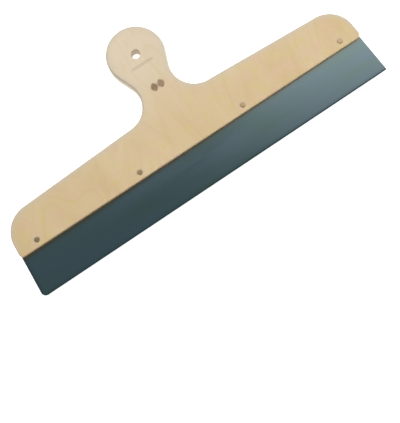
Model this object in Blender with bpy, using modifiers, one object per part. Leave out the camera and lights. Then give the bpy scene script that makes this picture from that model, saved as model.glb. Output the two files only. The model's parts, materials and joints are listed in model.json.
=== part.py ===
"""A wide, flexible putty knife: a thin spring-steel blade riveted into a wooden T handle.

The knife lies on its back face. X runs along the cutting edge, +Y from the blade towards the
hanging hole, and +Z out of the front face. The origin is the bottom centre of its bounding box.
"""

import math

import bmesh
import bpy
from mathutils import Matrix, Vector

# Blade, in metres.
BLADE_WIDTH = 0.500
BLADE_THICKNESS = 0.0005
BLADE_REACH = 0.0525
LEFT_CORNER_RADIUS = 0.0065
RIGHT_CORNER_RADIUS = 0.001
TANG_DEPTH = 0.0175
END_SLOPE = math.radians(3.5)

# Handle board.
BOARD_THICKNESS = 0.012
SLOT_DEPTH = 0.018
SHOULDER_HEIGHT = 0.049
SHOULDER_SLOPE = math.radians(2.9)
SHOULDER_RADIUS = 0.0355
FILLET_RADIUS = 0.032
FLARE_ANGLE = math.radians(22)
HEAD_RADIUS = 0.037
HEAD_HEIGHT = 0.1335
HANGING_HOLE_RADIUS = 0.006
# The hole sits a little above the middle of the head.
HANGING_HOLE_RISE = 0.0005
EDGE_RADIUS = 0.0025
LOWER_CORNER_RADIUS = 0.0085
# The blank is this much deeper than the board, and is trimmed square after its edges are rounded.
TRIM = 0.003

# Fasteners: a rivet's domed head is on the front, and its tail is peened over a burr that is
# sunk in the back.
RIVET_XS = (-0.219, -0.0757, 0.073, 0.219)
RIVET_HEIGHT = 0.0082
SHANK_RADIUS = 0.00175
HEAD_FLANGE_RADIUS = 0.0035
HEAD_RISE = 0.0007
HEAD_RIM = 0.0002
TAIL_RADIUS = 0.0027
TAIL_THICKNESS = 0.0006
TAIL_CHAMFER_DEPTH = 0.0002
TAIL_CHAMFER_WIDTH = 0.0003
TAIL_LIFT = 0.0001
BURR_RADIUS = 0.0038
BURR_THICKNESS = 0.0007
RECESS_RADIUS = 0.0041

# The clearance between pieces that touch on the real tool.
GAP = 0.0003

# Points closer than this are one point, and a cutter runs this far past the board's two faces.
MERGE_DISTANCE = 0.00001
CUTTER_REACH = 0.012

# Steps of the round shapes.
ARC_STEP = math.radians(4)
TURN_STEPS = 32
DOME_STEPS = 5

TIP_Y = -(BLADE_REACH + HEAD_HEIGHT + HEAD_RADIUS) / 2
EDGE_Y = TIP_Y + BLADE_REACH
HEAD_Y = EDGE_Y + HEAD_HEIGHT
HANGING_HOLE_Y = HEAD_Y + HANGING_HOLE_RISE
MIDDLE_Z = BOARD_THICKNESS / 2
RIVET_Y = EDGE_Y + RIVET_HEIGHT
SHANK_HOLE_RADIUS = SHANK_RADIUS + GAP


def clear_scene():
    for obj in list(bpy.data.objects):
        bpy.data.objects.remove(obj, do_unlink=True)


def new_collection(name):
    collection = bpy.data.collections.new(name)
    bpy.context.scene.collection.children.link(collection)
    return collection


def new_material(name, colour, roughness, metallic):
    material = bpy.data.materials.new(name)
    material.use_nodes = True
    shader = material.node_tree.nodes["Principled BSDF"]
    shader.inputs["Base Color"].default_value = (*colour, 1.0)
    shader.inputs["Roughness"].default_value = roughness
    shader.inputs["Metallic"].default_value = metallic
    return material


def new_object(name, mesh, collection, material=None):
    obj = bpy.data.objects.new(name, mesh)
    collection.objects.link(obj)
    if material:
        mesh.materials.append(material)
    return obj


def end_x(y):
    """Half the width at this height: both ends lean in from the cutting edge towards the handle."""
    return BLADE_WIDTH / 2 - (y - TIP_Y) * math.tan(END_SLOPE)


def arc(centre, radius, start, end):
    steps = max(2, round(abs(end - start) / ARC_STEP))
    turns = [start + (end - start) * i / steps for i in range(steps + 1)]
    return [centre + radius * Vector((math.cos(turn), math.sin(turn))) for turn in turns]


def rounded_corner(before, corner, after, radius):
    """The arc of this radius that is tangent to both sides of the corner."""
    back = (before - corner).normalized()
    ahead = (after - corner).normalized()
    half_angle = back.angle(ahead) / 2
    reach = radius / math.tan(half_angle)
    centre = corner + (back + ahead).normalized() * (radius / math.sin(half_angle))
    first = corner + back * reach - centre
    last = corner + ahead * reach - centre
    start = math.atan2(first.y, first.x)
    sweep = math.atan2(last.y, last.x) - start
    sweep = (sweep + math.pi) % math.tau - math.pi
    return arc(centre, radius, start, start + sweep)


def flipped(half):
    """The left half that matches a right half, from top to bottom."""
    return [Vector((-point.x, point.y)) for point in reversed(half) if point.x > MERGE_DISTANCE]


def mirrored(half):
    """The closed outline whose right half, from bottom to top, is given."""
    return half + flipped(half)


def board_outline():
    """The blank's outline. Its rounded lower corners lie partly in the strip that is trimmed off."""
    bottom = EDGE_Y - TRIM
    low_corner = Vector((end_x(bottom), bottom))
    shoulder_y = EDGE_Y + SHOULDER_HEIGHT
    shoulder = Vector((end_x(shoulder_y), shoulder_y))
    flare = Vector((math.sin(FLARE_ANGLE), math.cos(FLARE_ANGLE)))
    head_centre = Vector((0, HEAD_Y))
    tangent = head_centre + HEAD_RADIUS * Vector((flare.y, -flare.x))
    # The neck corner is where the flaring side of the neck would meet the shoulder's slope.
    rise = tangent.y - shoulder.y - (shoulder.x - tangent.x) * math.tan(SHOULDER_SLOPE)
    neck = tangent - flare * rise / (flare.y + flare.x * math.tan(SHOULDER_SLOPE))
    half = rounded_corner(Vector((0, bottom)), low_corner, shoulder, LOWER_CORNER_RADIUS)
    half += rounded_corner(low_corner, shoulder, neck, SHOULDER_RADIUS)
    half += rounded_corner(shoulder, neck, tangent, FILLET_RADIUS)
    half += arc(head_centre, HEAD_RADIUS, -FLARE_ANGLE, math.pi / 2)
    return mirrored(half)


def sheet_outline():
    """The free part of the blade, from the cutting edge up to the slot's mouth."""
    tip = Vector((end_x(TIP_Y), TIP_Y))
    top = EDGE_Y - GAP / 2
    top_corner = Vector((end_x(top), top))
    middle = Vector((0, TIP_Y))
    right = rounded_corner(middle, tip, top_corner, RIGHT_CORNER_RADIUS) + [top_corner]
    left = rounded_corner(middle, tip, top_corner, LEFT_CORNER_RADIUS) + [top_corner]
    return right + flipped(left)


def tang_outline():
    """The held part of the blade, inside the slot."""
    low = EDGE_Y + GAP / 2
    high = EDGE_Y + TANG_DEPTH
    inset = 2 * GAP
    return mirrored([Vector((end_x(low) - inset, low)), Vector((end_x(high) - inset, high))])


def plate(name, outline, thickness, edge_radius, collection, material):
    """A flat plate with rounded edges, cut from the outline, midway through the board's thickness."""
    curve = bpy.data.curves.new(name, "CURVE")
    curve.dimensions = "2D"
    curve.fill_mode = "BOTH"
    curve.extrude = thickness / 2 - edge_radius
    curve.bevel_depth = edge_radius
    curve.bevel_resolution = 2
    curve.offset = -edge_radius
    spline = curve.splines.new("POLY")
    spline.points.add(len(outline) - 1)
    for point, corner in zip(spline.points, outline):
        point.co = (corner.x, corner.y, 0, 1)
    spline.use_cyclic_u = True
    guide = new_object(name + "_outline", curve, collection)
    guide.location.z = MIDDLE_Z
    bpy.context.view_layer.update()
    evaluated = guide.evaluated_get(bpy.context.evaluated_depsgraph_get())
    mesh = bpy.data.meshes.new_from_object(evaluated)
    mesh.name = name
    closed = bmesh.new()
    closed.from_mesh(mesh)
    bmesh.ops.remove_doubles(closed, verts=closed.verts, dist=MERGE_DISTANCE)
    bmesh.ops.recalc_face_normals(closed, faces=closed.faces)
    closed.to_mesh(mesh)
    closed.free()
    mesh.materials.clear()
    solid = new_object(name, mesh, collection, material)
    solid.matrix_world = guide.matrix_world.copy()
    bpy.data.objects.remove(guide, do_unlink=True)
    return solid


def turned(name, profile, place, collection, material=None, closed_profile=False):
    """A turned piece: the profile of (radius, height) pairs runs from top to bottom, outside first."""
    mesh = bpy.data.meshes.new(name)
    edges = [(i, i + 1) for i in range(len(profile) - 1)]
    if closed_profile:
        edges.append((len(profile) - 1, 0))
    mesh.from_pydata([(radius, 0, height) for radius, height in profile], edges, [])
    obj = new_object(name, mesh, collection, material)
    obj.location = place
    screw = obj.modifiers.new("turn", "SCREW")
    screw.axis = "Z"
    screw.steps = TURN_STEPS
    screw.render_steps = TURN_STEPS
    screw.use_merge_vertices = True
    screw.merge_threshold = MERGE_DISTANCE
    screw.use_smooth_shade = True
    return obj


def box_cutter(name, low, high, collection):
    low, high = Vector(low), Vector(high)
    mesh = bpy.data.meshes.new(name)
    shape = bmesh.new()
    bmesh.ops.create_cube(shape, size=1)
    size = Matrix.Diagonal((*(high - low), 1))
    shape.transform(Matrix.Translation((low + high) / 2) @ size)
    shape.to_mesh(mesh)
    shape.free()
    return as_cutter(new_object(name, mesh, collection))


def as_cutter(obj):
    obj.hide_render = True
    obj.display_type = "WIRE"
    return obj


def cut(solid, cutters):
    for cutter in cutters:
        boolean = solid.modifiers.new("cut_" + cutter.name, "BOOLEAN")
        boolean.operation = "DIFFERENCE"
        boolean.solver = "EXACT"
        boolean.object = cutter


def slot_cutters(collection):
    """The trim that squares the board's lower edge, and the saw slot that takes the blade."""
    wide = BLADE_WIDTH
    trim = box_cutter(
        "lower_edge_cutter",
        (-wide, EDGE_Y - 2 * TRIM, -CUTTER_REACH),
        (wide, EDGE_Y, BOARD_THICKNESS + CUTTER_REACH),
        collection,
    )
    half_slot = BLADE_THICKNESS / 2 + GAP
    slot = box_cutter(
        "slot_cutter",
        (-wide, EDGE_Y - TRIM / 2, MIDDLE_Z - half_slot),
        (wide, EDGE_Y + SLOT_DEPTH, MIDDLE_Z + half_slot),
        collection,
    )
    return [trim, slot]


def hanging_hole_cutter(collection):
    profile = [
        (0, BOARD_THICKNESS + CUTTER_REACH),
        (HANGING_HOLE_RADIUS, BOARD_THICKNESS + CUTTER_REACH),
        (HANGING_HOLE_RADIUS, -CUTTER_REACH),
        (0, -CUTTER_REACH),
    ]
    return as_cutter(turned("hanging_hole_cutter", profile, (0, HANGING_HOLE_Y, 0), collection))


def rivet_places():
    return [Vector((x, RIVET_Y, 0)) for x in RIVET_XS]


def recess_depth():
    return TAIL_LIFT + TAIL_THICKNESS + BURR_THICKNESS + 2 * GAP


def rivet_hole_cutter(number, place, collection):
    """A rivet's hole through the board and the blade, with the burr's recess in the back."""
    profile = [
        (0, BOARD_THICKNESS + CUTTER_REACH),
        (SHANK_HOLE_RADIUS, BOARD_THICKNESS + CUTTER_REACH),
        (SHANK_HOLE_RADIUS, recess_depth()),
        (RECESS_RADIUS, recess_depth()),
        (RECESS_RADIUS, -CUTTER_REACH),
        (0, -CUTTER_REACH),
    ]
    return as_cutter(turned(f"rivet_hole_cutter_{number}", profile, place, collection))


def rivet(number, place, collection, material):
    """A domed head over the front face, a shank, and a tail that is peened out below the burr."""
    underside = BOARD_THICKNESS + GAP
    dome_base = underside + HEAD_RIM
    profile = []
    for i in range(DOME_STEPS + 1):
        turn = math.pi / 2 * (1 - i / DOME_STEPS)
        height = dome_base + (HEAD_RISE - HEAD_RIM) * math.sin(turn)
        profile.append((HEAD_FLANGE_RADIUS * math.cos(turn), height))
    profile[0] = (0, profile[0][1])
    tail_top = TAIL_LIFT + TAIL_THICKNESS
    profile += [
        (HEAD_FLANGE_RADIUS, underside),
        (SHANK_RADIUS, underside),
        (SHANK_RADIUS, tail_top),
        (TAIL_RADIUS, tail_top),
        (TAIL_RADIUS, TAIL_LIFT + TAIL_CHAMFER_DEPTH),
        (TAIL_RADIUS - TAIL_CHAMFER_WIDTH, TAIL_LIFT),
        (0, TAIL_LIFT),
    ]
    return turned(f"rivet_{number}", profile, place, collection, material)


def burr(number, place, collection, material):
    """The washer that spreads the rivet's tail over the wood."""
    low = TAIL_LIFT + TAIL_THICKNESS + GAP
    high = low + BURR_THICKNESS
    profile = [
        (SHANK_HOLE_RADIUS, high),
        (BURR_RADIUS, high),
        (BURR_RADIUS, low),
        (SHANK_HOLE_RADIUS, low),
    ]
    return turned(f"burr_{number}", profile, place, collection, material, closed_profile=True)


def main():
    clear_scene()
    parts = new_collection("putty_knife")
    cutters = new_collection("cutters")

    hole_cutters = [
        rivet_hole_cutter(number, place, cutters)
        for number, place in enumerate(rivet_places(), start=1)
    ]
    birch = new_material("birch_plywood", (0.62, 0.46, 0.27), 0.55, 0.0)
    board = plate("handle_board", board_outline(), BOARD_THICKNESS, EDGE_RADIUS, parts, birch)
    cut(board, slot_cutters(cutters) + [hanging_hole_cutter(cutters)] + hole_cutters)

    blued = new_material("blued_spring_steel", (0.20, 0.28, 0.29), 0.35, 0.9)
    tang = plate("blade_tang", tang_outline(), BLADE_THICKNESS, 0, parts, blued)
    cut(tang, hole_cutters)

    # The free part bends about the slot's mouth, so its parent stands there.
    mouth = bpy.data.objects.new("slot_mouth", None)
    mouth.location = (0, EDGE_Y, MIDDLE_Z)
    parts.objects.link(mouth)
    ground = new_material("ground_blade_sheet", (0.20, 0.28, 0.29), 0.35, 0.9)
    sheet = plate("blade_sheet", sheet_outline(), BLADE_THICKNESS, 0, parts, ground)
    sheet.parent = mouth
    sheet.matrix_parent_inverse = Matrix.Translation(mouth.location).inverted()

    for number, place in enumerate(rivet_places(), start=1):
        rivet_metal = new_material(f"rivet_{number}_metal", (0.71, 0.49, 0.32), 0.5, 0.9)
        rivet(number, place, parts, rivet_metal)
        burr_metal = new_material(f"burr_{number}_metal", (0.47, 0.45, 0.42), 0.5, 0.9)
        burr(number, place, parts, burr_metal)


main()
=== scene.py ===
"""Looks of the wide, flexible putty knife: plywood T handle, blued spring-steel blade, rivets and burrs.

Everything is in metres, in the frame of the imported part: X along the cutting edge, +Y towards the
hanging hole, +Z out of the front face, with the knife lying on its back.
"""

import json
import math

import bmesh
import bpy
from mathutils import Matrix, Vector

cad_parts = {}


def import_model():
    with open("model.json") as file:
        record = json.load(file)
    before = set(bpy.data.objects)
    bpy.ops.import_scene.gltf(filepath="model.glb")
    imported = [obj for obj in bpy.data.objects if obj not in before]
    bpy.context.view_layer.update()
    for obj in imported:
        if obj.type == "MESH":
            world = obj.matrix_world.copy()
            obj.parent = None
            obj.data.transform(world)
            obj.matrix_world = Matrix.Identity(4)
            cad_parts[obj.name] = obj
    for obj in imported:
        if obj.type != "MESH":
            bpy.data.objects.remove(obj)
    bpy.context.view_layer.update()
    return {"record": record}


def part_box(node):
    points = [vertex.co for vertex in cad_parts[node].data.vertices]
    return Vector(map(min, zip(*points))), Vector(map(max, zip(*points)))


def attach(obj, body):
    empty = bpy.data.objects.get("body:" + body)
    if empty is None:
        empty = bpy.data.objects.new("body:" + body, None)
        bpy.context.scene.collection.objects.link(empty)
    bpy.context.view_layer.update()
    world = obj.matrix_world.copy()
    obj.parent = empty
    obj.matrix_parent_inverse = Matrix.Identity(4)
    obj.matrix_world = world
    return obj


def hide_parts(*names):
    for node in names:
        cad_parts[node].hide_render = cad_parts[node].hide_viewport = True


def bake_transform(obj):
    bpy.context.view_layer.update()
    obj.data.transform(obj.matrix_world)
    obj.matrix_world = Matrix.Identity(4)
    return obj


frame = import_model()

BOARD_LOW, BOARD_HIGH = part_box("handle_board")
SHEET_LOW, SHEET_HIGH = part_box("blade_sheet")
TANG_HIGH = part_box("blade_tang")[1]
FLEX = frame["record"]["behaviour"]["joints"][0]

EDGE_Y = BOARD_LOW[1]
TIP_Y = SHEET_LOW[1]
TOP_Y = BOARD_HIGH[1]
FRONT_Z = BOARD_HIGH[2]
MIDDLE_Z = FLEX["pos_m"][2]
BLADE_THICKNESS = SHEET_HIGH[2] - SHEET_LOW[2]

# Outline of the board and the blade, as the solids have it.
BOARD_THICKNESS = 0.012
BLADE_WIDTH = 0.500
LEFT_CORNER_RADIUS = 0.0065
RIGHT_CORNER_RADIUS = 0.001
END_SLOPE = math.radians(3.5)
SHOULDER_HEIGHT = 0.049
SHOULDER_SLOPE = math.radians(2.9)
SHOULDER_RADIUS = 0.0355
FILLET_RADIUS = 0.032
FLARE_ANGLE = math.radians(22)
HEAD_RADIUS = 0.037
HEAD_Y = TOP_Y - HEAD_RADIUS
HANGING_HOLE_RADIUS = 0.006
HANGING_HOLE_Y = HEAD_Y + 0.0005
EDGE_RADIUS = 0.0025
LOWER_CORNER_RADIUS = 0.0085
TRIM = 0.003

# Finish of the real tool: eased rims, a saw kerf only just wider than the blade, thin veneers.
HOLE_RIM_RADIUS = 0.0003
KERF_CLEARANCE = 0.0001
KERF_END_GAP = 0.0004
LOWER_CHAMFER = 0.0004
VENEERS = 9
VENEER = BOARD_THICKNESS / VENEERS
BLADE_EASING = 0.00006
GROUND_BAND = 0.0014
GROUND_DEPTH = 0.00028
BLADE_HOLE_RADIUS = 0.0019
SHEET_COLUMNS = 120
SHEET_ROWS = 44
# Cutters stick out of what they cut by this much. The lower edge's cutter and the punch need more.
CUTTER_REACH = 0.002
LONG_CUTTER_REACH = 0.004
EDGE_CUTTER_DEPTH = 0.02

# Marks on the front face: two branded lozenges on the neck and a row of pressed ticks on the head.
MARK_DEPTH = 0.00035
MARK_HALF_WIDTH = 0.0043
MARK_HALF_HEIGHT = 0.0055
MARK_PITCH = 0.0092
MARK_MIDDLE = Vector((0.0009, HEAD_Y - 0.0475))
# An exponent of 1 would give an ellipse and 2 straight sides.
MARK_SIDES = 1.5
TICK_DEPTH = 0.0002
TICK_WIDTH = 0.0011
TICK_HEIGHT = 0.0036
TICK_PITCH = 0.0021
TICK_COUNT = 14
TICK_Y = HEAD_Y - 0.0150

# Rivets and burrs.
HEAD_SUNK = 0.0002
HEAD_RISE = 0.0005
HEAD_RIM = 0.00045
SHANK_RADIUS = 0.00165
SHANK_HOLE_RADIUS = 0.0018
DISH_GAP = 0.0002
DISH_RIM_DEPTH = 0.00012
DISH_DEPTH = 0.00022
HOLE_CHAMFER = 0.0004
BURR_GAP = 0.0003
BURR_HEADROOM = 0.00005
TAIL_RADIUS = 0.0028
TAIL_HEIGHT = 0.0006

RIVET_NAMES = [f"rivet_{number}" for number in range(1, 5)]
BURR_NAMES = [f"burr_{number}" for number in range(1, 5)]


# ---------------------------------------------------------------- small mesh tools


def new_piece(name, mesh, *materials):
    obj = bpy.data.objects.new(name, mesh)
    bpy.context.scene.collection.objects.link(obj)
    for material in materials:
        mesh.materials.append(material)
    return obj


def settle(obj):
    """Replaces the object's mesh with its evaluated mesh and drops the modifiers."""
    bpy.context.view_layer.update()
    evaluated = obj.evaluated_get(bpy.context.evaluated_depsgraph_get())
    mesh = bpy.data.meshes.new_from_object(evaluated)
    obj.modifiers.clear()
    obj.data = mesh
    return obj


def arc(centre, radius, start, end, step=math.radians(1.5)):
    steps = max(2, round(abs(end - start) / step))
    turns = [start + (end - start) * i / steps for i in range(steps + 1)]
    return [centre + radius * Vector((math.cos(turn), math.sin(turn))) for turn in turns]


def rounded_corner(before, corner, after, radius):
    """The arc of this radius that is tangent to both sides of the corner."""
    back = (before - corner).normalized()
    ahead = (after - corner).normalized()
    half_angle = back.angle(ahead) / 2
    reach = radius / math.tan(half_angle)
    centre = corner + (back + ahead).normalized() * (radius / math.sin(half_angle))
    first = corner + back * reach - centre
    last = corner + ahead * reach - centre
    start = math.atan2(first.y, first.x)
    sweep = math.atan2(last.y, last.x) - start
    sweep = (sweep + math.pi) % math.tau - math.pi
    return arc(centre, radius, start, start + sweep)


def mirrored(half):
    return half + [Vector((-point.x, point.y)) for point in reversed(half) if point.x > 1e-5]


def turned(name, profile, steps=64):
    """A turned mesh from (radius, height) pairs that run from the top down the outer side."""
    mesh = bpy.data.meshes.new(name)
    edges = [(i, i + 1) for i in range(len(profile) - 1)]
    mesh.from_pydata([(radius, 0, height) for radius, height in profile], edges, [])
    obj = new_piece(name, mesh)
    screw = obj.modifiers.new("turn", "SCREW")
    screw.axis = "Z"
    screw.steps = steps
    screw.render_steps = steps
    screw.use_merge_vertices = True
    screw.merge_threshold = 1e-5
    screw.use_smooth_shade = True
    return settle(obj)


def prism(name, outline, low, high):
    """A closed prism over a flat outline of (x, y) corners, from one height to another."""
    shape = bmesh.new()
    bottom = shape.faces.new([shape.verts.new((x, y, low)) for x, y in outline])
    grown = bmesh.ops.extrude_face_region(shape, geom=[bottom])
    risen = [item for item in grown["geom"] if isinstance(item, bmesh.types.BMVert)]
    bmesh.ops.translate(shape, verts=risen, vec=(0, 0, high - low))
    bmesh.ops.recalc_face_normals(shape, faces=shape.faces)
    mesh = bpy.data.meshes.new(name)
    shape.to_mesh(mesh)
    shape.free()
    return new_piece(name, mesh)


def cut(solid, cutters):
    """Cuts each cutter out of the solid, then removes the cutters."""
    for cutter in cutters:
        boolean = solid.modifiers.new("cut", "BOOLEAN")
        boolean.operation = "DIFFERENCE"
        boolean.solver = "EXACT"
        boolean.material_mode = "TRANSFER"
        boolean.object = cutter
    settle(solid)
    for cutter in cutters:
        bpy.data.objects.remove(cutter, do_unlink=True)
    return solid


def shade(obj, angle=math.radians(35)):
    """Smooth shading with crisp edges, and flat faces that stay flat."""
    obj.data.shade_smooth()
    obj.data.set_sharp_from_angle(angle=angle)
    weighted = obj.modifiers.new("weighted", "WEIGHTED_NORMAL")
    weighted.keep_sharp = True
    weighted.weight = 100
    return settle(obj)


# ---------------------------------------------------------------- materials


class Nodes:
    """A short way to write a node tree."""

    def __init__(self, tree):
        self.tree = tree

    def add(self, kind, settings=None, **inputs):
        node = self.tree.nodes.new("ShaderNode" + kind)
        for key, value in (settings or {}).items():
            setattr(node, key, value)
        for key, value in inputs.items():
            self.feed(node, key.replace("_", " "), value)
        return node

    def feed(self, node, socket, value):
        """Links or sets a socket, given by its name or by i and its number."""
        target = node.inputs[int(socket[1:])] if socket[1:].isdigit() else node.inputs[socket]
        if isinstance(value, bpy.types.NodeSocket):
            self.tree.links.new(value, target)
        else:
            target.default_value = value

    def maths(self, operation, first, second=0.0):
        node = self.add("Math", {"operation": operation})
        self.feed(node, "i0", first)
        self.feed(node, "i1", second)
        return node.outputs[0]

    def times(self, first, second):
        return self.maths("MULTIPLY", first, second)

    def vectors(self, operation, first, second):
        """A number from two vectors, such as their distance or dot product."""
        node = self.add("VectorMath", {"operation": operation})
        self.feed(node, "i0", first)
        self.feed(node, "i1", second)
        return node.outputs["Value"]

    def mix(self, factor, first, second, blend="MIX"):
        node = self.add("Mix", {"data_type": "RGBA", "blend_type": blend})
        self.feed(node, "i0", factor)
        self.feed(node, "i6", first if not isinstance(first, tuple) else (*first, 1))
        self.feed(node, "i7", second if not isinstance(second, tuple) else (*second, 1))
        return node.outputs[2]

    def span(self, value, low, high, to_low=0.0, to_high=1.0):
        """A smooth step of the value from low to high."""
        node = self.add("MapRange", {"interpolation_type": "SMOOTHSTEP"})
        for index, number in enumerate((value, low, high, to_low, to_high)):
            self.feed(node, f"i{index}", number)
        return node.outputs[0]


class Surface(Nodes):
    """The node tree of a new material, with its Principled shader."""

    def __init__(self, name):
        self.material = bpy.data.materials.new(name)
        self.material.use_nodes = True
        super().__init__(self.material.node_tree)
        self.shader = self.tree.nodes["Principled BSDF"]

    def place(self):
        return self.add("TexCoord").outputs["Object"]

    def axes(self, vector):
        return self.add("SeparateXYZ", Vector=vector).outputs

    def normal(self):
        return self.add("NewGeometry").outputs["Normal"]

    def distance_to(self, point):
        return self.vectors("DISTANCE", self.place(), point)

    def stretched(self, scale, offset=(0.0, 0.0, 0.0)):
        """Object coordinates, scaled per axis."""
        return self.add("Mapping", Vector=self.place(), Scale=scale, Location=offset).outputs[0]

    def noise(self, vector, detail=3.0, roughness=0.5, distortion=0.0):
        node = self.add(
            "TexNoise",
            Vector=vector,
            Scale=1.0,
            Detail=detail,
            Roughness=roughness,
            Distortion=distortion,
        )
        return node.outputs["Fac"]

    def ramp(self, value, stops):
        """A colour ramp of (position, colour) stops; a colour may be one grey number."""
        node = self.add("ValToRGB", Fac=value)
        for element, (position, colour) in zip(node.color_ramp.elements, stops):
            element.position = position
            grey = not isinstance(colour, tuple)
            element.color = (colour, colour, colour, 1) if grey else (*colour, 1)
        return node.outputs["Color"]

    def bump(self, height, distance):
        node = self.add("Bump", Height=height, Distance=distance)
        self.feed(self.shader, "Normal", node.outputs[0])

    def finish(self, **inputs):
        for key, value in inputs.items():
            self.feed(self.shader, key.replace("_", " "), value)
        return self.material


WOOD_PALE = (0.640, 0.486, 0.285)
WOOD_WARM = (0.602, 0.440, 0.240)
WOOD_YELLOW = (0.615, 0.474, 0.222)
WOOD_PINK = (0.640, 0.448, 0.280)
# Painted sheen: the paler tone the face takes towards the head.
WOOD_HEAD_SHEEN = (0.660, 0.550, 0.405)
LATEWOOD_TINT = (0.90, 0.80, 0.66)
FLECK_BROWN = (0.40, 0.25, 0.13)
END_GRAIN_PALE = (0.58, 0.44, 0.28)
END_GRAIN_DARK = (0.46, 0.33, 0.19)
GLUE_BROWN = (0.17, 0.10, 0.05)
# Painted shade: the grey of the faces along the outline, and how far in it reaches.
RIM_SHADE_GREY = (0.515, 0.475, 0.405)
RIM_SHADE_REACH = 0.010
# Painted light on the bore's wall.
BORE_PAINTED_LIGHT = (0.74, 0.63, 0.49)
# Painted shade, with some dirt, on the rounded edges.
ROUNDING_SHADE_GREY = (0.44, 0.39, 0.31)
# Painted shade in the pressed hollows.
HOLLOW_SHADE_BROWN = (0.30, 0.23, 0.15)
SCORCH_BROWN = (0.22, 0.11, 0.045)


def face_veneer(n, height, cloud, fibre):
    """A veneer peeled from the log: a soft mottle, broad wavy rings, short fibres and a painted sheen
    towards the head.
    """
    face = n.mix(n.span(cloud, 0.35, 0.65), WOOD_PALE, WOOD_WARM)
    mottle = n.noise(n.stretched((62, 62, 1), (1, 4, 0)), detail=2.0)
    face = n.mix(n.span(mottle, 0.30, 0.48, 0.85, 0.0), face, WOOD_YELLOW)
    face = n.mix(n.span(mottle, 0.52, 0.70, 0.0, 0.90), face, WOOD_PINK)
    # Painted sheen: the wood pales from the shoulders to the head.
    face = n.mix(n.span(height, -0.045, 0.080, 0.0, 0.80), face, WOOD_HEAD_SHEEN)
    peel = n.noise(n.stretched((8, 3.4, 1)), detail=2.0, distortion=1.6)
    rings = n.maths("SINE", n.times(peel, 62.0))
    latewood = n.span(rings, 0.0, 1.0, 0.0, 0.17)
    face = n.mix(latewood, face, n.mix(1.0, face, LATEWOOD_TINT, "MULTIPLY"))
    face = n.mix(0.38, face, n.ramp(fibre, [(0.3, 0.84), (0.7, 1.0)]), "MULTIPLY")
    fleck = n.noise(n.stretched((900, 130, 1), (7, 0, 0)), detail=1.0)
    return n.mix(n.span(fleck, 0.70, 0.78, 0.0, 0.30), face, FLECK_BROWN)


def veneer_sides(n, face, level, grain):
    """The sides show long grain and darker end grain by turns, with glue lines between them."""
    depth = n.maths("DIVIDE", level, VENEER)
    crossed = n.maths("MODULO", n.maths("FLOOR", depth), 2.0)
    end_grain = n.mix(n.span(grain, 0.35, 0.7), END_GRAIN_PALE, END_GRAIN_DARK)
    side = n.mix(n.times(crossed, 0.75), face, end_grain)
    off_middle = n.maths("ABSOLUTE", n.maths("SUBTRACT", n.maths("FRACT", depth), 0.5))
    glue = n.times(n.span(off_middle, 0.42, 0.49), 0.5)
    return n.mix(glue, side, GLUE_BROWN)


def painted_rim_shade(n, colour, height, steep, from_hole):
    """Painted shade: greys the faces near the outline, spreading the shade of the rounded edges onto them,
    but not along the blade or round the hole.
    """
    around = n.add("Bevel", {"samples": 8}, Radius=RIM_SHADE_REACH).outputs["Normal"]
    facing = n.vectors("DOT_PRODUCT", around, n.normal())
    lean = n.maths("ARCCOSINE", n.maths("MINIMUM", facing, 1.0))
    rim = n.times(n.span(lean, 0.0, 0.40, 0.0, 0.70), n.span(steep, 0.93, 0.999))
    rim = n.times(rim, n.span(height, EDGE_Y + 0.004, EDGE_Y + 0.012))
    rim = n.times(rim, n.span(from_hole, 0.018, 0.024))
    return n.mix(rim, colour, RIM_SHADE_GREY)


def shaded_and_soiled_rounding(n, colour, steep):
    """Greys the rounded edges in blotches: painted shade of the round-over, and some dirt."""
    rounded = n.times(n.span(steep, 0.93, 0.9995, 1.0, 0.0), n.span(steep, 0.05, 0.30))
    blotches = n.noise(n.stretched((45, 45, 45)), detail=3.0)
    shade_and_dirt = n.times(rounded, n.span(blotches, 0.3, 0.7, 0.35, 0.55))
    return n.mix(shade_and_dirt, colour, ROUNDING_SHADE_GREY)


def shaded_hollows(n, colour, level, steep):
    """Painted shade: darkens the floors of the pressed hollows of the front face."""
    sunken = n.span(level, FRONT_Z - 0.00018, FRONT_Z - 0.00005, 0.34, 0.0)
    shallow = n.span(level, FRONT_Z - 0.00120, FRONT_Z - 0.00060)
    hollow_shade = n.times(n.times(sunken, shallow), n.span(steep, 0.90, 0.99))
    return n.mix(hollow_shade, colour, HOLLOW_SHADE_BROWN)


def scorched_marks(n, colour):
    """The two brands scorch the wood round them."""
    for mark in burnt_marks():
        reach = n.distance_to((mark["centre"].x, mark["centre"].y, FRONT_Z))
        colour = n.mix(n.span(reach, 0.0030, 0.0068, 0.38, 0.0), colour, SCORCH_BROWN)
    return colour


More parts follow.
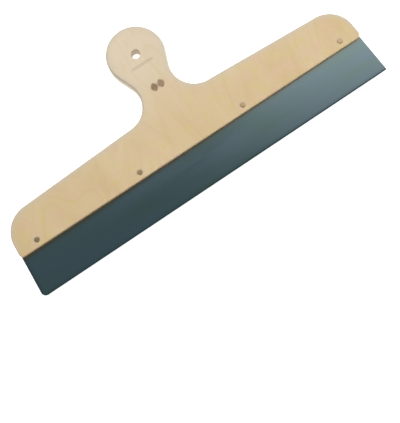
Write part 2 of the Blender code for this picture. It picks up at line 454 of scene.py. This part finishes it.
def plywood():
    """Birch plywood: nine veneers with thin glue lines, a sanded face and a thin satin varnish."""
    n = Surface("birch_plywood")
    place = n.axes(n.place())
    steep = n.maths("ABSOLUTE", n.axes(n.normal())["Z"])
    cloud = n.noise(n.stretched((16, 7, 1), (3, 1, 0)), detail=3.0)
    fibre = n.noise(n.stretched((1500, 38, 1)), detail=4.0, roughness=0.65)
    side_grain = n.noise(n.stretched((60, 900, 2500), (0, 0, 5)), detail=3.0)
    face = face_veneer(n, place["Y"], cloud, fibre)
    side = veneer_sides(n, face, place["Z"], side_grain)
    colour = n.mix(n.span(steep, 0.90, 0.998), side, face)
    from_hole = n.distance_to((0.0, HANGING_HOLE_Y, MIDDLE_Z))
    colour = painted_rim_shade(n, colour, place["Y"], steep, from_hole)
    # Painted light: the bore's wall is painted paler, as if lit through the hole.
    colour = n.mix(n.span(from_hole, 0.0084, 0.0088, 0.5, 0.0), colour, BORE_PAINTED_LIGHT)
    colour = shaded_and_soiled_rounding(n, colour, steep)
    colour = shaded_hollows(n, colour, place["Z"], steep)
    colour = scorched_marks(n, colour)
    n.bump(n.maths("ADD", n.times(fibre, 0.7), n.times(side_grain, 0.3)), 0.00012)
    rough = n.span(cloud, 0.3, 0.7, 0.46, 0.58)
    return n.finish(Base_Color=colour, Roughness=rough, Coat_Weight=0.4, Coat_Roughness=0.3)


CHAR_DARK = (0.240, 0.150, 0.085)
CHAR_PALE = (0.420, 0.290, 0.175)
CHAR_DEEP = (0.13, 0.07, 0.04)


def burnt():
    """The charred floor of a branded mark."""
    n = Surface("burnt_wood")
    char = n.noise(n.stretched((700, 700, 700)), detail=4.0, roughness=0.6)
    colour = n.ramp(char, [(0.3, CHAR_DARK), (0.7, CHAR_PALE)])
    # The first mark was held down a little longer.
    first = n.span(n.axes(n.place())["X"], -0.001, 0.003, 0.28, 0.0)
    colour = n.mix(first, colour, CHAR_DEEP)
    n.bump(char, 0.00015)
    return n.finish(Base_Color=colour, Roughness=n.span(char, 0.3, 0.7, 0.65, 0.85))


BLUING_GREEN = (0.216, 0.303, 0.292)
BLUING_BLUE = (0.228, 0.308, 0.345)
SCRATCH_GREY = (0.42, 0.46, 0.47)
OXIDE_DARK = (0.05, 0.06, 0.06)
# Painted reflection and shade of the wood on the blade, with an oil film.
FILM_AND_REFLECTION_BROWN = (0.27, 0.19, 0.10)


def dark_oxide(n, colour, place):
    """The ground edge and the left end carry a darker oxide."""
    above_tip = n.maths("SUBTRACT", place["Y"], TIP_Y)
    lean = n.times(above_tip, math.tan(END_SLOPE))
    from_end = n.maths("SUBTRACT", n.maths("ADD", place["X"], BLADE_WIDTH / 2), lean)
    nearest = n.maths("MINIMUM", above_tip, from_end)
    return n.mix(n.span(nearest, 0.0005, 0.0060, 0.26, 0.0), colour, OXIDE_DARK)


def film_and_painted_reflection(n, colour, place):
    """Along the slot's mouth, darker to the left: an oil film, and a painted reflection and shade of the
    shaded wood above it.
    """
    below_slot = n.maths("SUBTRACT", EDGE_Y, place["Y"])
    left_weight = n.span(place["X"], -BLADE_WIDTH / 2, BLADE_WIDTH / 2, 0.80, 0.35)
    film_and_reflection = n.times(n.span(below_slot, 0.0, 0.0075, 1.0, 0.0), left_weight)
    return n.mix(film_and_reflection, colour, FILM_AND_REFLECTION_BROWN)


def blued_steel():
    """Cold-rolled spring steel, blued, with fine rolling lines along the blade and a thin patina."""
    n = Surface("blued_spring_steel")
    rolled = n.noise(n.stretched((3, 800, 1)), detail=3.0, roughness=0.6)
    patina = n.noise(n.stretched((9, 40, 1), (2, 5, 0)), detail=2.0, roughness=0.45)
    colour = n.mix(n.span(patina, 0.3, 0.7), BLUING_GREEN, BLUING_BLUE)
    colour = n.mix(0.20, colour, n.ramp(rolled, [(0.3, 0.82), (0.7, 1.0)]), "MULTIPLY")
    scratch = n.noise(n.stretched((2, 420, 1), (5, 0, 0)), detail=1.0)
    colour = n.mix(n.span(scratch, 0.72, 0.82, 0.0, 0.12), colour, SCRATCH_GREY)
    place = n.axes(n.place())
    colour = dark_oxide(n, colour, place)
    colour = film_and_painted_reflection(n, colour, place)
    n.bump(rolled, 0.000004)
    rough = n.maths("ADD", n.span(patina, 0.25, 0.75, 0.236, 0.256), n.times(rolled, 0.012))
    return n.finish(Base_Color=colour, Metallic=1.0, Roughness=rough, Anisotropic=0.3)


COPPER_FRESH = (0.82, 0.59, 0.35)
COPPER_TARNISH = (0.62, 0.44, 0.24)
STEEL_FRESH = (0.56, 0.55, 0.52)
STEEL_TARNISH = (0.36, 0.34, 0.30)


def dull_metal(name, fresh, tarnish):
    """Metal of the rivets and burrs: dull, tarnished in patches, with brighter rubbed spots."""
    n = Surface(name)
    wear = n.noise(n.stretched((420, 420, 420)), detail=4.0, roughness=0.6)
    colour = n.mix(n.span(wear, 0.35, 0.65), tarnish, fresh)
    fine = n.noise(n.stretched((2600, 2600, 2600)), detail=2.0)
    n.bump(fine, 0.00003)
    rough = n.span(wear, 0.3, 0.7, 0.52, 0.40)
    return n.finish(Base_Color=colour, Metallic=1.0, Roughness=rough)


def floor_material():
    """Pale, matt studio board with a soft glow, like a light table."""
    n = Surface("studio_floor")
    grain = n.noise(n.stretched((500, 500, 500)), detail=2.0)
    colour = n.ramp(grain, [(0.3, 0.58), (0.7, 0.60)])
    glow = {"Emission_Color": (1, 1, 1, 1), "Emission_Strength": 0.85}
    return n.finish(Base_Color=colour, Roughness=0.9, **glow)


# ---------------------------------------------------------------- handle


def end_x(y):
    """Half the width at this height: both ends lean in from the cutting edge towards the handle."""
    return BLADE_WIDTH / 2 - (y - TIP_Y) * math.tan(END_SLOPE)


def board_outline():
    """Corners and ends of the shoulders, fillets into the neck, and the round head."""
    bottom = EDGE_Y - TRIM
    low_corner = Vector((end_x(bottom), bottom))
    shoulder_y = EDGE_Y + SHOULDER_HEIGHT
    shoulder = Vector((end_x(shoulder_y), shoulder_y))
    flare = Vector((math.sin(FLARE_ANGLE), math.cos(FLARE_ANGLE)))
    head_centre = Vector((0, HEAD_Y))
    tangent = head_centre + HEAD_RADIUS * Vector((flare.y, -flare.x))
    # The neck corner is where the flaring side of the neck would meet the shoulder's slope.
    rise = tangent.y - shoulder.y - (shoulder.x - tangent.x) * math.tan(SHOULDER_SLOPE)
    neck = tangent - flare * rise / (flare.y + flare.x * math.tan(SHOULDER_SLOPE))
    half = rounded_corner(Vector((0, bottom)), low_corner, shoulder, LOWER_CORNER_RADIUS)
    half += rounded_corner(low_corner, shoulder, neck, SHOULDER_RADIUS)
    half += rounded_corner(shoulder, neck, tangent, FILLET_RADIUS)
    half += arc(head_centre, HEAD_RADIUS, -FLARE_ANGLE, math.pi / 2)
    return mirrored(half)


def rounded_over(outline):
    """A mesh of the board over this outline, its edges rounded over on both faces."""
    curve = bpy.data.curves.new("board", "CURVE")
    curve.dimensions = "2D"
    curve.fill_mode = "BOTH"
    curve.extrude = FRONT_Z / 2 - EDGE_RADIUS
    curve.bevel_depth = EDGE_RADIUS
    curve.bevel_resolution = 6
    curve.offset = -EDGE_RADIUS
    spline = curve.splines.new("POLY")
    spline.points.add(len(outline) - 1)
    for point, corner in zip(spline.points, outline):
        point.co = (corner.x, corner.y, 0, 1)
    spline.use_cyclic_u = True
    guide = new_piece("board_guide", curve)
    guide.location.z = FRONT_Z / 2
    bpy.context.view_layer.update()
    evaluated = guide.evaluated_get(bpy.context.evaluated_depsgraph_get())
    mesh = bpy.data.meshes.new_from_object(evaluated)
    mesh.transform(guide.matrix_world)
    mesh.materials.clear()
    bpy.data.objects.remove(guide, do_unlink=True)
    return mesh


def join_flat_faces(mesh):
    """Closes the mesh and joins the triangles of each flat side into one face."""
    shape = bmesh.new()
    shape.from_mesh(mesh)
    bmesh.ops.remove_doubles(shape, verts=shape.verts, dist=1e-5)
    flat = {face for face in shape.faces if abs(face.normal.z) > 0.9999}
    inner = {edge for face in flat for edge in face.edges}
    inner = [edge for edge in inner if all(face in flat for face in edge.link_faces)]
    bmesh.ops.dissolve_edges(shape, edges=inner, use_verts=False)
    bmesh.ops.recalc_face_normals(shape, faces=shape.faces)
    shape.to_mesh(mesh)
    shape.free()


def board_blank(wood):
    """The board with its edges rounded over, before it is cut."""
    mesh = rounded_over(board_outline())
    join_flat_faces(mesh)
    return new_piece("plywood_handle", mesh, wood)


def rim_arc(radius, face_z, outward):
    """Profile points of an eased rim, where a hole meets the face at this height."""
    points = []
    for i in range(5):
        turn = math.pi / 2 * i / 4
        out = radius + HOLE_RIM_RADIUS * (1 - math.sin(turn))
        points.append((out, face_z - outward * HOLE_RIM_RADIUS * (1 - math.cos(turn))))
    return points


def hanging_hole_cutter(wood):
    """A straight hole through the board whose rims are eased on both faces."""
    wide = HANGING_HOLE_RADIUS + HOLE_RIM_RADIUS
    profile = [(0, FRONT_Z + CUTTER_REACH), (wide, FRONT_Z + CUTTER_REACH)]
    profile += rim_arc(HANGING_HOLE_RADIUS, FRONT_Z, 1)
    profile += reversed(rim_arc(HANGING_HOLE_RADIUS, 0.0, -1))
    profile += [(wide, -CUTTER_REACH), (0, -CUTTER_REACH)]
    cutter = turned("hanging_hole", profile)
    cutter.location = (0, HANGING_HOLE_Y, 0)
    cutter.data.materials.append(wood)
    return cutter


def lower_edge_cutter(wood):
    """Squares the lower edge and breaks its two arrises."""
    over = LONG_CUTTER_REACH
    section = [
        (EDGE_Y - EDGE_CUTTER_DEPTH, -over),
        (EDGE_Y + LOWER_CHAMFER + over, -over),
        (EDGE_Y, LOWER_CHAMFER),
        (EDGE_Y, FRONT_Z - LOWER_CHAMFER),
        (EDGE_Y + LOWER_CHAMFER + over, FRONT_Z + over),
        (EDGE_Y - EDGE_CUTTER_DEPTH, FRONT_Z + over),
    ]
    cutter = prism("lower_edge_cutter", section, -BLADE_WIDTH, BLADE_WIDTH)
    # The section was drawn in Y and Z, so the prism turns to run along X.
    turn = Matrix(((0, 0, 1, 0), (1, 0, 0, 0), (0, 1, 0, 0), (0, 0, 0, 1)))
    cutter.data.transform(turn)
    cutter.data.materials.append(wood)
    return cutter


def box_outline(low_x, low_y, high_x, high_y):
    return [(low_x, low_y), (high_x, low_y), (high_x, high_y), (low_x, high_y)]


def kerf_cutter(wood):
    half = BLADE_THICKNESS / 2 + KERF_CLEARANCE
    low, high = EDGE_Y - TRIM, TANG_HIGH[1] + KERF_END_GAP
    outline = box_outline(-BLADE_WIDTH, low, BLADE_WIDTH, high)
    cutter = prism("kerf_cutter", outline, MIDDLE_Z - half, MIDDLE_Z + half)
    cutter.data.materials.append(wood)
    return cutter


def rivet_place(name):
    low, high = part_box(name)
    return ((low[0] + high[0]) / 2, (low[1] + high[1]) / 2)


def width(name):
    low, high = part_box(name)
    return high[0] - low[0]


def rivet_cutters(wood):
    """The shank's hole, the dish that the head is pulled into, and the burr's recess in the back."""
    cutters = []
    for rivet_name, burr_name in zip(RIVET_NAMES, BURR_NAMES):
        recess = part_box(burr_name)[1][2] + BURR_HEADROOM
        recess_radius = width(burr_name) / 2 + BURR_GAP
        dish = width(rivet_name) / 2 + DISH_GAP
        profile = [
            (0, FRONT_Z + CUTTER_REACH),
            (dish + HOLE_CHAMFER, FRONT_Z + CUTTER_REACH),
            (dish + HOLE_CHAMFER, FRONT_Z),
            (dish, FRONT_Z - DISH_RIM_DEPTH),
            (SHANK_HOLE_RADIUS, FRONT_Z - DISH_DEPTH),
            (SHANK_HOLE_RADIUS, recess),
            (recess_radius, recess),
            (recess_radius, HOLE_CHAMFER),
            (recess_radius + HOLE_CHAMFER, 0.0),
            (recess_radius + HOLE_CHAMFER, -CUTTER_REACH),
            (0, -CUTTER_REACH),
        ]
        cutter = turned("cut_" + rivet_name, profile)
        cutter.location = (*rivet_place(rivet_name), 0)
        cutter.data.materials.append(wood)
        cutters.append(cutter)
    return cutters


def burnt_marks():
    """Two plain lozenges with slightly bulging sides, branded side by side across the neck."""
    marks = []
    for side in (-0.5, 0.5):
        centre = MARK_MIDDLE + Vector((side * MARK_PITCH, 0))
        outline = []
        for i in range(32):
            turn = math.tau * i / 32
            along, across = math.cos(turn), math.sin(turn)
            x = math.copysign(abs(along) ** MARK_SIDES, along) * MARK_HALF_WIDTH
            y = math.copysign(abs(across) ** MARK_SIDES, across) * MARK_HALF_HEIGHT
            outline.append((centre.x + x, centre.y + y))
        marks.append({"centre": centre, "outline": outline})
    return marks


def pressed(name, outline, depth, material):
    """A cutter that presses this outline into the front face."""
    cutter = prism(name, outline, FRONT_Z - depth, FRONT_Z + CUTTER_REACH)
    cutter.data.materials.append(material)
    return cutter


def mark_cutters(char):
    marks = enumerate(burnt_marks(), start=1)
    return [pressed(f"mark_{number}", mark["outline"], MARK_DEPTH, char) for number, mark in marks]


def tick_cutters(wood):
    """A row of plain pressed ticks across the head, below the hanging hole."""
    cutters = []
    for number in range(TICK_COUNT):
        x = (number - (TICK_COUNT - 1) / 2) * TICK_PITCH
        half_x, half_y = TICK_WIDTH / 2, TICK_HEIGHT / 2
        outline = box_outline(x - half_x, TICK_Y - half_y, x + half_x, TICK_Y + half_y)
        cutters.append(pressed(f"tick_{number}", outline, TICK_DEPTH, wood))
    return cutters


def handle(wood, char):
    """The board, cut square, slotted, bored and marked."""
    board = board_blank(wood)
    cutters = [lower_edge_cutter(wood), kerf_cutter(wood), hanging_hole_cutter(wood)]
    cutters += rivet_cutters(wood) + mark_cutters(char) + tick_cutters(wood)
    cut(board, cutters)
    shade(board)
    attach(board, "handle")
    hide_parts("handle_board")
    return board


# ---------------------------------------------------------------- blade


def half_width(y, corner_radius):
    """Half the sheet's width at this height, with this corner of the cutting edge rounded."""
    within = corner_radius - (y - TIP_Y)
    if within <= 0:
        return end_x(y)
    return end_x(y) - corner_radius + math.sqrt(corner_radius**2 - within**2)


def sheet_rows():
    """Heights of the rows of the sheet: close together round the corners, then even."""
    heights = {TIP_Y}
    for radius, steps in ((RIGHT_CORNER_RADIUS, 5), (LEFT_CORNER_RADIUS, 12)):
        for i in range(1, steps + 1):
            heights.add(TIP_Y + radius * (1 - math.cos(math.pi / 2 * i / steps)))
    start = max(heights)
    step = (TANG_HIGH[1] - start) / SHEET_ROWS
    heights |= {start + step * i for i in range(1, SHEET_ROWS + 1)}
    return sorted(heights)


def flat_sheet(steel):
    """The blade's outline as a fine grid, so that it bends smoothly, thickened and lightly eased."""
    rows = sheet_rows()
    shape = bmesh.new()
    bmesh.ops.create_grid(shape, x_segments=SHEET_COLUMNS, y_segments=len(rows) - 1, size=0.5)
    for vert in shape.verts:
        row = rows[round((vert.co.y + 0.5) * (len(rows) - 1))]
        corner = LEFT_CORNER_RADIUS if vert.co.x < 0 else RIGHT_CORNER_RADIUS
        vert.co = Vector((2 * vert.co.x * half_width(row, corner), row, MIDDLE_Z))
    mesh = bpy.data.meshes.new("spring_steel_blade")
    shape.to_mesh(mesh)
    shape.free()
    sheet = new_piece("spring_steel_blade", mesh, steel)
    solid = sheet.modifiers.new("thickness", "SOLIDIFY")
    solid.thickness = BLADE_THICKNESS
    solid.offset = 0
    eased = sheet.modifiers.new("eased", "BEVEL")
    eased.width = BLADE_EASING
    eased.segments = 2
    eased.limit_method = "ANGLE"
    return settle(sheet)


def grind_edge(mesh):
    """Thins the front side towards the cutting edge, as a stone leaves it."""
    for vert in mesh.vertices:
        near = 1 - (vert.co.y - TIP_Y) / GROUND_BAND
        if near > 0 and vert.co.z > MIDDLE_Z:
            vert.co.z -= near * GROUND_DEPTH


def punch_cutters():
    """The rivets' holes through the sheet."""
    top, bottom = MIDDLE_Z + LONG_CUTTER_REACH, MIDDLE_Z - LONG_CUTTER_REACH
    profile = [(0, top), (BLADE_HOLE_RADIUS, top), (BLADE_HOLE_RADIUS, bottom), (0, bottom)]
    cutters = []
    for rivet_name in RIVET_NAMES:
        cutter = turned("punch", profile, 32)
        cutter.location = (*rivet_place(rivet_name), 0)
        cutters.append(cutter)
    return cutters


def blade(steel):
    """One sheet from the tang, in its kerf, to the cutting edge."""
    sheet = flat_sheet(steel)
    grind_edge(sheet.data)
    cut(sheet, punch_cutters())
    shade(sheet)
    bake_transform(sheet)
    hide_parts("blade_tang", "blade_sheet")
    return sheet


# ---------------------------------------------------------------- rivets and burrs


def fastener(suffix, name, profile, metal):
    """A turned piece on the axis of this rivet or burr."""
    obj = turned(name + suffix, profile)
    obj.data.materials.append(metal)
    obj.data.transform(Matrix.Translation((*rivet_place(name), 0)))
    shade(obj)
    return obj


def rivet(name, metal):
    """A low, nearly flat head, a shank, and a tail peened out over the burr."""
    radius = width(name) / 2
    base = FRONT_Z - HEAD_SUNK
    profile = [(0, base + HEAD_RISE), (radius * 0.4, base + HEAD_RISE - 0.00002)]
    for i in range(7):
        turn = math.pi / 2 * i / 6
        out = HEAD_RIM * math.sin(turn)
        up = (HEAD_RISE - 0.00008) * math.cos(turn)
        profile.append((radius - HEAD_RIM + out, base + up))
    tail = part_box(name)[0][2]
    profile += [
        (SHANK_RADIUS, base - 0.0001),
        (SHANK_RADIUS, tail + TAIL_HEIGHT),
        (TAIL_RADIUS - 0.0002, tail + TAIL_HEIGHT),
        (TAIL_RADIUS, tail + TAIL_HEIGHT / 2),
        (TAIL_RADIUS - 0.0004, tail + 0.00008),
        (TAIL_RADIUS - 0.0016, tail),
        (0, tail + 0.0001),
    ]
    obj = fastener("_head_and_tail", name, profile, metal)
    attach(obj, "handle")
    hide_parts(name)
    return obj


def burr(name, metal):
    """A pressed washer: slightly dished, with a rolled rim from the punch."""
    radius = width(name) / 2
    bottom, top = (corner[2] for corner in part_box(name))
    profile = [
        (SHANK_HOLE_RADIUS, top),
        (radius - 0.0002, top),
        (radius - 0.00005, top - 0.00008),
        (radius, top - 0.0002),
        (radius, bottom + 0.00015),
        (radius - 0.00015, bottom),
        (radius * 0.75, bottom + 0.00003),
        (0.0021, bottom + 0.0001),
        (SHANK_HOLE_RADIUS, bottom + 0.00018),
        (SHANK_HOLE_RADIUS, top),
    ]
    obj = fastener("_washer", name, profile, metal)
    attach(obj, "handle")
    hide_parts(name)
    return obj


# ---------------------------------------------------------------- studio

CAMERA_PLACE = Vector((-0.0683, -0.1604, 0.4563))
CAMERA_AHEAD = Vector((0.0579, 0.0688, -0.9960))
CAMERA_RIGHT = Vector((0.8294, -0.5585, 0.0096))
CAMERA_LENS = 32.16
CAMERA_SENSOR = 36
CAMERA_NEAR = 0.01

CEILING_BRIGHTENS = (1.0, 1.5, 0.0)
CEILING_DIM = (0.155, 0.204, 0.222)
CEILING_BRIGHT = (1.37, 1.345, 1.35)
WALLS = (0.60, 0.61, 0.62)
# The ceiling brightens from the first to the second of these, as measured along its direction.
CEILING_RAMP = (0.5, 0.9)
CEILING_CURVE = 0.93
# Heights, as the sine of the elevation, between which the ceiling gives way to the walls.
WALL_TOP = 0.70
WALL_FULL = 0.40
FLOOR_HALF_WIDTH = 20.0

KEY_LIGHT = {
    "place": (0.4, 1.0, 2.9),
    "target": (0, 0, 0),
    "size": (2.0, 2.0),
    "power": 66.2,
    "colour": (1.0, 0.985, 0.96),
}
# Low in front of the cutting edge, to reach into the corner under the slot.
FILL_LIGHT = {
    "place": (0.85, -0.75, 0.12),
    "target": (0.1, EDGE_Y, 0),
    "size": (0.3, 0.2),
    "power": 9.5,
    "colour": (1.0, 0.98, 0.95),
}


def studio_floor():
    shape = bmesh.new()
    bmesh.ops.create_grid(shape, x_segments=1, y_segments=1, size=FLOOR_HALF_WIDTH)
    mesh = bpy.data.meshes.new("studio_floor")
    shape.to_mesh(mesh)
    shape.free()
    floor = new_piece("studio_floor", mesh, floor_material())


def camera():
    back = -CAMERA_AHEAD.normalized()
    right = (CAMERA_RIGHT - CAMERA_RIGHT.dot(back) * back).normalized()
    up = back.cross(right)
    data = bpy.data.cameras.new("camera")
    data.lens = CAMERA_LENS
    data.sensor_width = CAMERA_SENSOR
    data.clip_start = CAMERA_NEAR
    obj = bpy.data.objects.new("camera", data)
    turn = Matrix((right, up, back)).transposed().to_4x4()
    obj.matrix_world = Matrix.Translation(CAMERA_PLACE) @ turn
    bpy.context.scene.collection.objects.link(obj)
    bpy.context.scene.camera = obj


def area_light(name, place, target, size, power, colour):
    data = bpy.data.lights.new(name, "AREA")
    data.shape = "RECTANGLE"
    data.size, data.size_y = size
    data.energy = power
    data.color = colour
    obj = bpy.data.objects.new(name, data)
    aim = (Vector(target) - Vector(place)).to_track_quat("-Z", "Y")
    obj.matrix_world = Matrix.Translation(place) @ aim.to_matrix().to_4x4()
    # The polished steel mirrors the studio's walls, and not the lamp itself.
    obj.visible_glossy = False
    bpy.context.scene.collection.objects.link(obj)


def world():
    """Pale walls all round, and above them a dim ceiling that brightens to the right of the handle."""
    sky = bpy.data.worlds.new("studio")
    sky.use_nodes = True
    n = Nodes(sky.node_tree)
    direction = n.add("TexCoord").outputs["Generated"]
    towards = n.vectors("DOT_PRODUCT", direction, CEILING_BRIGHTENS)
    start, end = CEILING_RAMP
    reach = n.add("MapRange", Value=towards, From_Min=start, From_Max=end).outputs[0]
    ceiling = n.mix(n.maths("POWER", reach, CEILING_CURVE), CEILING_DIM, CEILING_BRIGHT)
    height = n.add("SeparateXYZ", Vector=direction).outputs["Z"]
    colour = n.mix(n.span(height, WALL_TOP, WALL_FULL), ceiling, WALLS)
    n.feed(n.tree.nodes["Background"], "Color", colour)
    bpy.context.scene.world = sky


def studio():
    studio_floor()
    camera()
    world()
    area_light("key", **KEY_LIGHT)
    area_light("fill", **FILL_LIGHT)
    bpy.context.scene.view_settings.view_transform = "Standard"


# ---------------------------------------------------------------- assembly


def main():
    handle(plywood(), burnt())
    blade(blued_steel())
    copper = dull_metal("rivet_metal", COPPER_FRESH, COPPER_TARNISH)
    steel = dull_metal("burr_metal", STEEL_FRESH, STEEL_TARNISH)
    for name in RIVET_NAMES:
        rivet(name, copper)
    for name in BURR_NAMES:
        burr(name, steel)
    studio()


main()
